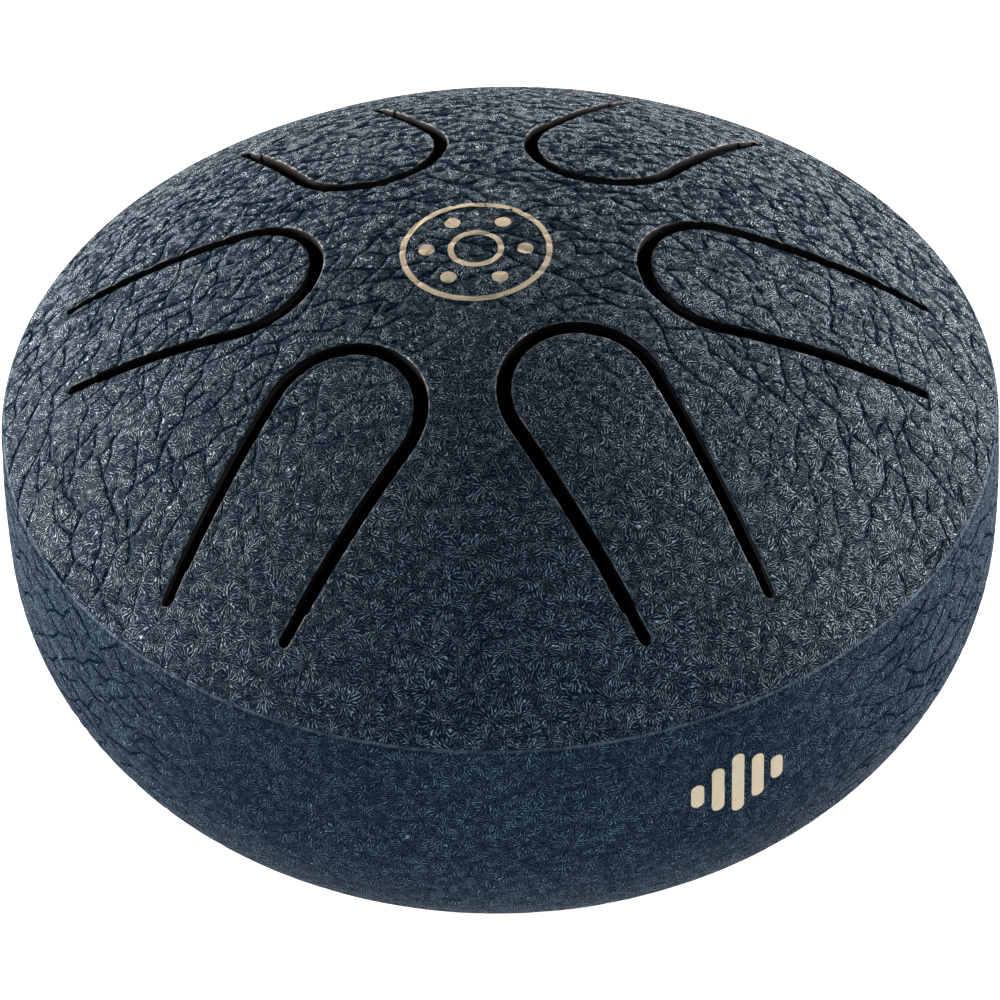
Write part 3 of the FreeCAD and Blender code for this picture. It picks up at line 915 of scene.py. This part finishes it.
def creases(n):
    """Grooves that run from star point to star point, and the pinch at each of those. From 0 to 1."""
    u, v, away, _ = fan_place(n)
    across, up, strength = n.split(n.attribute("link", "Vector"))
    from_line = n.math("SUBTRACT", n.math("MULTIPLY", u, up), n.math("MULTIPLY", v, across))
    from_line = n.math("ABSOLUTE", from_line)
    groove = n.math("MULTIPLY", strength, n.span(from_line, 0.06, 0.30, 1.0, 0.0))
    pinch = n.math("MULTIPLY", n.span(away, 0.1, 0.55, 0.8, 0.0), n.span(strength, 0.0, 1.0, 0.35, 1.0))
    return n.math("MAXIMUM", groove, pinch)


def wrinkle_paint(name, dark, light, wear_and_highlight, least_wear_and_highlight):
    """Wrinkle paint: a painted highlight on the crests of its ridges, painted shade between them and in the
    creases, and a light colour along the edges for wear and a painted highlight, at least as much as given."""
    n = Nodes(name)
    place = n.position()
    crease = creases(n)
    fine = n.noise(place, 2.6, 2.0)
    ridge = fan_ridges(n, place)
    patches = n.noise(place, 0.09, 3.0)
    height = n.math("ADD", ridge, n.math("MULTIPLY", fine, 0.4))
    n.bump(n.math("SUBTRACT", height, n.math("MULTIPLY", crease, 1.5)), 0.45)
    # painted highlight: the ridges' crests are drawn lighter than the paint, and the grooves between them
    # darker
    crest_highlight = n.math("MULTIPLY", ridge, n.span(fine, 0.34, 0.60, 0.15, 1.0))
    # painted shade: the creases, and the pinch at each star point, darken the colour
    tone_and_painted_light = n.math("MULTIPLY", n.math("SUBTRACT", 1.0, n.math("MULTIPLY", crease, 0.9)),
                  n.math("ADD", crest_highlight, n.math("MULTIPLY", fine, 0.05)))
    tone_and_painted_light = n.math("MULTIPLY", tone_and_painted_light, n.span(patches, 0.35, 0.65, 0.8, 1.05))
    # painted highlight and shade in light and dark clumps, stronger towards the back
    rear = n.split(place)[1]
    clump_shade_floor, clump_highlight_top = n.span(rear, -15.0, 25.0, 0.40, 0.05), n.span(rear, -15.0, 25.0, 1.15, 1.60)
    tone_and_painted_light = n.math("MULTIPLY", tone_and_painted_light, n.span(n.noise(place, 0.75, 2.0), 0.42, 0.58, clump_shade_floor, clump_highlight_top))
    color = n.mix(tone_and_painted_light, dark, light)
    # the light edge colour: wear and a painted highlight on the slots' rounded edges, and a painted
    # highlight along the weld
    chips_and_highlight = n.span(n.noise(place, 0.8, 3.0), 0.42, 0.62, least_wear_and_highlight, 0.9)
    color = n.mix(n.math("MULTIPLY", n.attribute("edge", "Fac"), chips_and_highlight), color, wear_and_highlight)
    dull = n.math("MAXIMUM", crease, n.math("SUBTRACT", 1.0, ridge))
    n.put(n.span(crease, 0.0, 0.6, PAINT_SPECULAR, 0.0), n.shader.inputs["Specular IOR Level"])
    return n.finish(color, n.span(dull, 0.0, 1.0, 0.32, 0.7), specular=PAINT_SPECULAR)


def painted_shade_lining():
    """Near-black painted shade on the slots' cut edges and inside the drum."""
    n = Nodes("painted_shade_lining_look")
    grain = n.noise(n.position(), 1.5, 3.0)
    n.bump(grain, 0.03)
    return n.finish(n.mix(grain, (0.002, 0.0025, 0.003, 1), (0.006, 0.008, 0.010, 1)), 0.7, specular=0.2)


def print_ink():
    n = Nodes("cream_print_look")
    place = n.position()
    ridge = fan_ridges(n, place)
    fine = n.noise(place, 4.0, 2.0)
    n.bump(n.math("ADD", n.math("MULTIPLY", ridge, 0.4), fine), 0.04)
    # painted shade: the print darkens in the paint's creases
    color = n.mix(n.math("MULTIPLY", creases(n), 0.8), CREAM, CREAM_CREASE_SHADE)
    color = n.mix(n.span(fine, 0.3, 0.7), color, CREAM_LIGHT)
    return n.finish(color, 0.6, specular=0.35)


def rubber():
    n = Nodes("black_rubber_look")
    fine = n.noise(n.position(), 6.0, 2.0)
    n.bump(fine, 0.03)
    return n.finish(n.mix(fine, (0.010, 0.010, 0.010, 1), (0.028, 0.028, 0.028, 1)), 0.75)


def zinc():
    n = Nodes("zinc_look")
    grain = n.noise(n.position(), 2.5, 4.0)
    n.bump(grain, 0.02)
    return n.finish(n.mix(grain, (0.42, 0.43, 0.44, 1), (0.66, 0.66, 0.64, 1)),
                    n.span(grain, 0.3, 0.7, 0.28, 0.48), metallic=1.0)


# The drum

paint = wrinkle_paint("navy_wrinkle_look", DEEP_NAVY_GROOVE_SHADE, NAVY_CREST_HIGHLIGHT, BARE_EDGE_AND_HIGHLIGHT, 0.05)
wall_paint = wrinkle_paint("navy_wall_look", WALL_GROOVE_SHADE, WALL_CREST_HIGHLIGHT, WELD_HIGHLIGHT, 0.35)
# painted shade: the slot walls and the inside of the drum are drawn near-black
inside = painted_shade_lining()
painted = top_pieces(paint, inside) + [weld_piece(wall_paint, inside), bowl_piece(wall_paint, inside)]
ink = print_ink()
prints = [printed("emblem_film", emblem_outlines(), onto_dome, "centre_emblem", ink),
          printed("badge_film", badge_outlines(), onto_wall, "side_badge", ink)]
black, steel = rubber(), zinc()
for name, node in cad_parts.items():
    kind = name.rsplit("_", 1)[0]
    if kind in ("foot", "foot_washer", "foot_screw", "weld_nut"):
        node.data.materials.clear()
        node.data.materials.append(black if kind == "foot" else steel)


# Studio

def aimed(location, target, roll=0.0):
    """A matrix at a location, looking at a target, turned about its line of sight."""
    location, target = Vector(location), Vector(target)
    look = (target - location).to_track_quat("-Z", "Y").to_matrix().to_4x4()
    return Matrix.Translation(location) @ look @ Matrix.Rotation(math.radians(roll), 4, "Z")


def soft_light(name, location, target, width, height, power, color):
    light = bpy.data.lights.new(name, "AREA")
    light.shape = "RECTANGLE"
    light.size, light.size_y = width, height
    light.energy = power
    light.color = color
    lamp = bpy.data.objects.new(name, light)
    lamp.matrix_world = aimed(location, target)
    bpy.context.scene.collection.objects.link(lamp)


def studio():
    """A pale floor just under the feet, low warm panels at both sides, cool fills, and the camera."""
    scene = bpy.context.scene
    mesh = bpy.data.meshes.new("floor")
    corners = [(FLOOR_HALF * x, FLOOR_HALF * y, FLOOR_Z) for x, y in ((-1, -1), (1, -1), (1, 1), (-1, 1))]
    mesh.from_pydata(corners, [], [(0, 1, 2, 3)])
    floor = bpy.data.objects.new("floor", mesh)
    scene.collection.objects.link(floor)
    n = Nodes("pale_floor")
    n.shader.inputs["Emission Color"].default_value = (1, 1, 1, 1)
    n.shader.inputs["Emission Strength"].default_value = 0.75
    mesh.materials.append(n.finish((0.88, 0.88, 0.88, 1), 0.8, specular=0.2))
    centre = (0, 0, 0.05)
    soft_light("left_panel", (-0.85, 0.45, 0.16), centre, 0.4, 0.24, 27, WARM)
    soft_light("right_panel", (0.85, 0.45, 0.16), centre, 0.4, 0.24, 21, WARM)
    soft_light("back_panel", (0, 1.1, 0.35), centre, 0.9, 0.3, 1.6, WHITE)
    soft_light("left_fill", (-0.9, -0.9, 0.9), centre, 0.8, 0.8, 3.8, COOL)
    soft_light("right_fill", (0.9, -0.9, 0.9), centre, 0.8, 0.8, 3.8, COOL)
    world = bpy.data.worlds.new("room")
    world.use_nodes = True
    world.node_tree.nodes["Background"].inputs[0].default_value = (1, 1, 1, 1)
    world.node_tree.nodes["Background"].inputs[1].default_value = 0.06
    scene.world = world
    lens = bpy.data.cameras.new("camera")
    lens.lens = 132.0
    lens.sensor_width = 36.0
    camera = bpy.data.objects.new("camera", lens)
    camera.matrix_world = aimed((0, -0.38096, 0.39476), (-0.00036, 0, 0.03415), -1.864)
    scene.collection.objects.link(camera)
    scene.camera = camera
    scene.view_settings.view_transform = "Standard"


studio()
bpy.context.view_layer.update()
